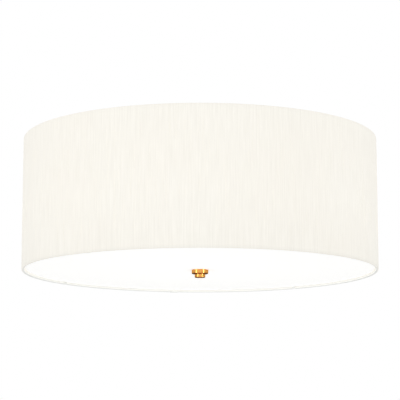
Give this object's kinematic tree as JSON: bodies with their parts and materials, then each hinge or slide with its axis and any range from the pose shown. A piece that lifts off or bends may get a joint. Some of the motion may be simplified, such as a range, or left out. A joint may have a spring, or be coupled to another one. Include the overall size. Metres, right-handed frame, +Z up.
{
  "type": "semi-flush ceiling light",
  "caption": "Semi-flush ceiling light with a wide fabric drum shade, flat opal diffuser held by a turned finial, and lampholders on a short stem under a round canopy.",
  "frame": {"origin": "centre of the ceiling face, midway between the bracket's two slots", "axes": "+Z up, out of the ceiling face; +X along the bracket; the light hangs towards -Z"},
  "size_m": [0.6, 0.6005, 0.2786],
  "materials": {
    "copper": "polished copper-toned plating",
    "zinc_steel": "bright zinc plate",
    "white_paint": "white powder coat, satin",
    "spring_steel": "bright spring strip",
    "fabric": "ivory slub silk weave",
    "liner": "white styrene backing, matt",
    "opal_diffuser": "opal acrylic, satin",
    "gasket": "clear-white silicone",
    "block_plastic": "natural polyamide",
    "brass_contact": "bare brass",
    "lead_brown": "insulation, satin",
    "lead_blue": "insulation, satin",
    "lead_green": "green insulation with a yellow stripe",
    "holder_plastic": "white moulded, satin",
    "holder_shell": "nickel-plated, rolled thread",
    "ceramic": "glazed porcelain",
    "bulb_cap": "rolled screw cap",
    "opal_glass": "frosted opal glass"
  },
  "bodies": {
    "fixture": {"canopy": "copper", "canopy_collar": "copper", "canopy_screws": "copper", "ceiling_bracket": "zinc_steel", "centre_tube": "zinc_steel", "diffuser_clips": "spring_steel", "diffuser_stop_nut": "white_paint", "earth_screw": "zinc_steel", "lamp_box": "white_paint", "lamp_box_lid": "white_paint", "lamp_leads_live": "lead_brown", "lamp_leads_neutral": "lead_blue", "lamp_nipples": "zinc_steel", "lampholder_1_cap": "holder_plastic", "lampholder_1_screw_shell": "holder_shell", "lampholder_1_skirt": "holder_plastic", "lampholder_2_cap": "holder_plastic", "lampholder_2_screw_shell": "holder_shell", "lampholder_2_skirt": "holder_plastic", "lampholder_3_cap": "holder_plastic", "lampholder_3_screw_shell": "holder_shell", "lampholder_3_skirt": "holder_plastic", "lampholder_4_cap": "holder_plastic", "lampholder_4_screw_shell": "holder_shell", "lampholder_4_skirt": "holder_plastic", "lampholder_bases": "ceramic", "lampholder_contacts": "brass_contact", "lead_earth": "lead_green", "lead_live": "lead_brown", "lead_neutral": "lead_blue", "nipple_nuts": "zinc_steel", "shade_bottom_ring": "white_paint", "shade_fabric": "fabric", "shade_liner": "liner", "shade_top_ring": "white_paint", "shade_washers": "white_paint", "spacer_sleeve": "white_paint", "spider_arms": "white_paint", "spider_plate": "white_paint", "stem_sleeve": "copper", "terminal_barrels": "brass_contact", "terminal_block": "block_plastic", "terminal_screws": "zinc_steel", "tube_nuts": "zinc_steel", "tube_washer": "zinc_steel", "wire_bush": "block_plastic"},
    "diffuser": {"diffuser": "opal_diffuser", "diffuser_gasket": "gasket", "finial_cap": "copper"},
    "finial": {"finial_knob": "copper"},
    "bulb_1": {"bulb_1_cap": "bulb_cap", "bulb_1_glass": "opal_glass"},
    "bulb_2": {"bulb_2_cap": "bulb_cap", "bulb_2_glass": "opal_glass"},
    "bulb_3": {"bulb_3_cap": "bulb_cap", "bulb_3_glass": "opal_glass"},
    "bulb_4": {"bulb_4_cap": "bulb_cap", "bulb_4_glass": "opal_glass"}
  },
  "joints": [
    {"name": "finial_turn", "type": "hinge", "parent": "diffuser", "child": "finial", "pos_m": [0, 0, -0.2722], "axis": [0, 0, -1], "range_deg": [0, 3960]},
    {"name": "diffuser_lower", "type": "slide", "parent": "fixture", "child": "diffuser", "axis": [0, 0, -1], "range_m": [0, 0.011]},
    {"name": "bulb_1_out", "type": "slide", "parent": "fixture", "child": "bulb_1", "axis": [1, 0, 0], "range_m": [0, 0.03]},
    {"name": "bulb_2_out", "type": "slide", "parent": "fixture", "child": "bulb_2", "axis": [0, 1, 0], "range_m": [0, 0.03]},
    {"name": "bulb_3_out", "type": "slide", "parent": "fixture", "child": "bulb_3", "axis": [-1, 0, 0], "range_m": [0, 0.03]},
    {"name": "bulb_4_out", "type": "slide", "parent": "fixture", "child": "bulb_4", "axis": [0, -1, 0], "range_m": [0, 0.03]}
  ],
  "couplings": [
    {"joint": "finial_turn", "follows": "diffuser_lower", "rad_per_m": 6283.2}
  ]
}
